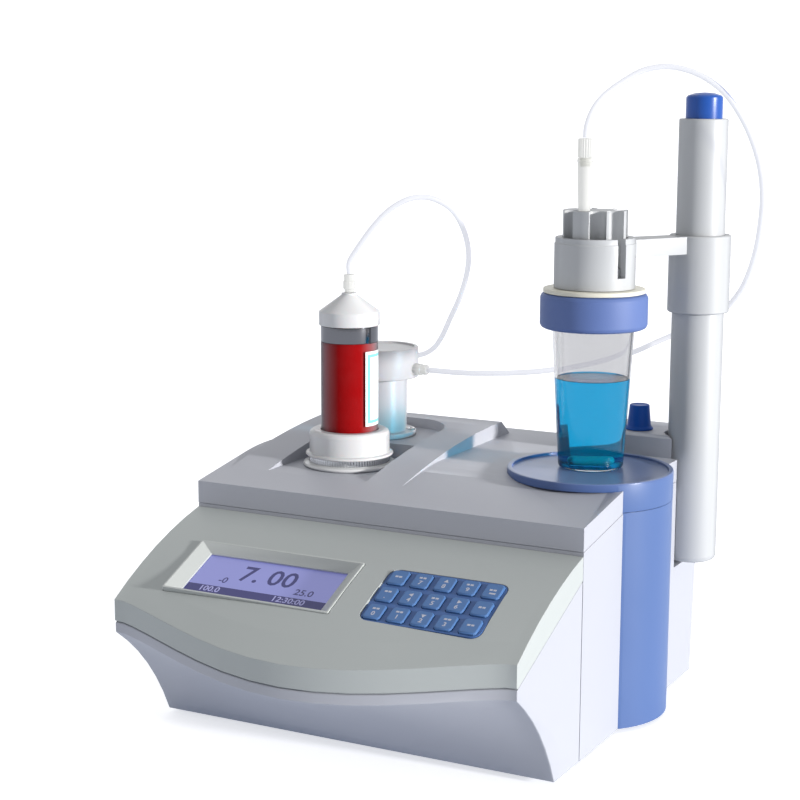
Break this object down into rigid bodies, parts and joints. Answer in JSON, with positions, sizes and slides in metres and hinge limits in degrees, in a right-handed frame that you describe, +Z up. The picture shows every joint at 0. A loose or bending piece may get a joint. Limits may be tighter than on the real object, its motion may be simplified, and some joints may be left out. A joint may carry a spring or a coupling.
{
  "type": "potentiometric titrator",
  "caption": "Bench titrator with a piston burette, a rotary valve, a magnetic stirrer, a titration cup on a lifting arm, and a sloping panel with a display and keypad.",
  "frame": {"origin": "the middle of the bounding box of the instrument without its tubes, in the plane that the rubber feet stand on", "axes": "+Z up, -Y towards the user (the panel side), +X to the right as the user sees it, where the stand and the stirrer are"},
  "size_m": [0.3511, 0.374, 0.4582],
  "materials": {
    "black_plastic": "black",
    "board_green": "circuit board",
    "case_grey": "fine-grained moulded housing",
    "chrome": "polished",
    "clear": "clear",
    "cream": "cream white",
    "dark_blue": "satin dark blue",
    "key_blue": "matte blue keypad",
    "magnet": "dark",
    "panel_grey": "fine-grained moulded panel",
    "ptfe": "translucent white",
    "silver": "satin silver",
    "steel": "plain sheet steel",
    "stirrer_blue": "satin blue",
    "white_plastic": "white, semi-gloss",
    "window": "lavender liquid-crystal display behind a clear window"
  },
  "bodies": {
    "housing": {"rear_housing": "case_grey", "front_base": "case_grey", "front_panel": "panel_grey", "top_cover": "case_grey", "bottom_plate": "steel", "display_bezel": "silver", "display_window": "window", "front_board": "board_green", "keypad_frame": "key_blue", "stirrer_shell": "stirrer_blue", "stir_tray": "stirrer_blue", "stirrer_motor": "steel", "stand_lower_tube": "white_plastic", "stand_mast": "white_plastic", "burette_seat": "chrome", "burette_collar": "white_plastic", "burette_glass": "clear", "burette_neck_ring": "chrome", "burette_cap": "white_plastic", "burette_drive": "steel", "valve_post": "white_plastic", "valve_head": "white_plastic", "fitting_burette": "ptfe", "fitting_valve_side": "ptfe", "fitting_valve_rear": "ptfe", "main_board": "board_green", "power_supply": "steel", "rear_connectors": "black_plastic", "burette_tube": "ptfe", "dosing_tube": "ptfe"},
    "carriage": {"lift_arm": "white_plastic", "titration_head": "white_plastic", "head_plate": "cream", "electrode_holder": "white_plastic", "dispensing_tip": "ptfe", "tip_fitting": "ptfe", "sample_cup": "clear"},
    "ring": {"cup_ring": "stirrer_blue"},
    "stirring_bar": {"stir_bar": "ptfe"},
    "magnet": {"drive_magnet": "magnet"},
    "button": {"release_button": "stirrer_blue"},
    "knob": {"speed_knob": "dark_blue"},
    "piston": {"burette_piston": "ptfe"},
    "rotor": {"valve_rotor": "ptfe"},
    "rocker": {"power_rocker": "black_plastic"},
    "key_body_row1_column1": {"key_row1_column1": "key_blue"},
    "key_body_row1_column2": {"key_row1_column2": "key_blue"},
    "key_body_row1_column3": {"key_row1_column3": "key_blue"},
    "key_body_row1_column4": {"key_row1_column4": "key_blue"},
    "key_body_row1_column5": {"key_row1_column5": "key_blue"},
    "key_body_row2_column1": {"key_row2_column1": "key_blue"},
    "key_body_row2_column2": {"key_row2_column2": "key_blue"},
    "key_body_row2_column3": {"key_row2_column3": "key_blue"},
    "key_body_row2_column4": {"key_row2_column4": "key_blue"},
    "key_body_row2_column5": {"key_row2_column5": "key_blue"},
    "key_body_row3_column1": {"key_row3_column1": "key_blue"},
    "key_body_row3_column2": {"key_row3_column2": "key_blue"},
    "key_body_row3_column3": {"key_row3_column3": "key_blue"},
    "key_body_row3_column4": {"key_row3_column4": "key_blue"},
    "key_body_row3_column5": {"key_row3_column5": "key_blue"}
  },
  "joints": [
    {"name": "stand_lift", "type": "slide", "parent": "housing", "child": "carriage", "axis": [0, 0, 1], "range_m": [0, 0.08], "deforming": ["dosing_tube"]},
    {"name": "cup_ring_turn", "type": "hinge", "parent": "carriage", "child": "ring", "pos_m": [0.09178, 0.0704, 0.276], "axis": [0, 0, 1], "range_deg": [0, 90]},
    {"name": "magnet_turn", "type": "hinge", "parent": "housing", "child": "magnet", "pos_m": [0.09178, 0.0704, 0.1611], "axis": [0, 0, 1], "continuous": true},
    {"name": "stir_bar_turn", "type": "hinge", "parent": "carriage", "child": "stirring_bar", "pos_m": [0.09178, 0.0704, 0.1818], "axis": [0, 0, 1], "continuous": true},
    {"name": "release_button_press", "type": "slide", "parent": "housing", "child": "button", "axis": [0, 0, -1], "range_m": [0, 0.004], "stiffness_N_per_m": 800, "springref_m": -0.0015},
    {"name": "speed_knob_turn", "type": "hinge", "parent": "housing", "child": "knob", "pos_m": [0.09938, 0.1472, 0.1916], "axis": [0, 0, 1], "range_deg": [-135, 135]},
    {"name": "piston_stroke", "type": "slide", "parent": "housing", "child": "piston", "axis": [0, 0, 1], "range_m": [0, 0.06]},
    {"name": "valve_turn", "type": "hinge", "parent": "housing", "child": "rotor", "pos_m": [-0.09363, 0.0972, 0.2236], "axis": [0, 0, 1], "range_deg": [0, 120]},
    {"name": "rocker_tilt", "type": "hinge", "parent": "housing", "child": "rocker", "pos_m": [-0.07862, 0.17458, 0.048], "axis": [-1, 0, 0], "range_deg": [0, 6]},
    {"name": "key_row1_column1_press", "type": "slide", "parent": "housing", "child": "key_body_row1_column1", "axis": [0, 0.4024, -0.9155], "range_m": [0, 0.001], "stiffness_N_per_m": 900, "springref_m": -0.0006},
    {"name": "key_row1_column2_press", "type": "slide", "parent": "housing", "child": "key_body_row1_column2", "axis": [0, 0.4024, -0.9155], "range_m": [0, 0.001], "stiffness_N_per_m": 900, "springref_m": -0.0006},
    {"name": "key_row1_column3_press", "type": "slide", "parent": "housing", "child": "key_body_row1_column3", "axis": [0, 0.4024, -0.9155], "range_m": [0, 0.001], "stiffness_N_per_m": 900, "springref_m": -0.0006},
    {"name": "key_row1_column4_press", "type": "slide", "parent": "housing", "child": "key_body_row1_column4", "axis": [0, 0.4024, -0.9155], "range_m": [0, 0.001], "stiffness_N_per_m": 900, "springref_m": -0.0006},
    {"name": "key_row1_column5_press", "type": "slide", "parent": "housing", "child": "key_body_row1_column5", "axis": [0, 0.4024, -0.9155], "range_m": [0, 0.001], "stiffness_N_per_m": 900, "springref_m": -0.0006},
    {"name": "key_row2_column1_press", "type": "slide", "parent": "housing", "child": "key_body_row2_column1", "axis": [0, 0.4024, -0.9155], "range_m": [0, 0.001], "stiffness_N_per_m": 900, "springref_m": -0.0006},
    {"name": "key_row2_column2_press", "type": "slide", "parent": "housing", "child": "key_body_row2_column2", "axis": [0, 0.4024, -0.9155], "range_m": [0, 0.001], "stiffness_N_per_m": 900, "springref_m": -0.0006},
    {"name": "key_row2_column3_press", "type": "slide", "parent": "housing", "child": "key_body_row2_column3", "axis": [0, 0.4024, -0.9155], "range_m": [0, 0.001], "stiffness_N_per_m": 900, "springref_m": -0.0006},
    {"name": "key_row2_column4_press", "type": "slide", "parent": "housing", "child": "key_body_row2_column4", "axis": [0, 0.4024, -0.9155], "range_m": [0, 0.001], "stiffness_N_per_m": 900, "springref_m": -0.0006},
    {"name": "key_row2_column5_press", "type": "slide", "parent": "housing", "child": "key_body_row2_column5", "axis": [0, 0.4024, -0.9155], "range_m": [0, 0.001], "stiffness_N_per_m": 900, "springref_m": -0.0006},
    {"name": "key_row3_column1_press", "type": "slide", "parent": "housing", "child": "key_body_row3_column1", "axis": [0, 0.4024, -0.9155], "range_m": [0, 0.001], "stiffness_N_per_m": 900, "springref_m": -0.0006},
    {"name": "key_row3_column2_press", "type": "slide", "parent": "housing", "child": "key_body_row3_column2", "axis": [0, 0.4024, -0.9155], "range_m": [0, 0.001], "stiffness_N_per_m": 900, "springref_m": -0.0006},
    {"name": "key_row3_column3_press", "type": "slide", "parent": "housing", "child": "key_body_row3_column3", "axis": [0, 0.4024, -0.9155], "range_m": [0, 0.001], "stiffness_N_per_m": 900, "springref_m": -0.0006},
    {"name": "key_row3_column4_press", "type": "slide", "parent": "housing", "child": "key_body_row3_column4", "axis": [0, 0.4024, -0.9155], "range_m": [0, 0.001], "stiffness_N_per_m": 900, "springref_m": -0.0006},
    {"name": "key_row3_column5_press", "type": "slide", "parent": "housing", "child": "key_body_row3_column5", "axis": [0, 0.4024, -0.9155], "range_m": [0, 0.001], "stiffness_N_per_m": 900, "springref_m": -0.0006}
  ],
  "couplings": [
    {"joint": "stir_bar_turn", "follows": "magnet_turn", "ratio": 1}
  ]
}
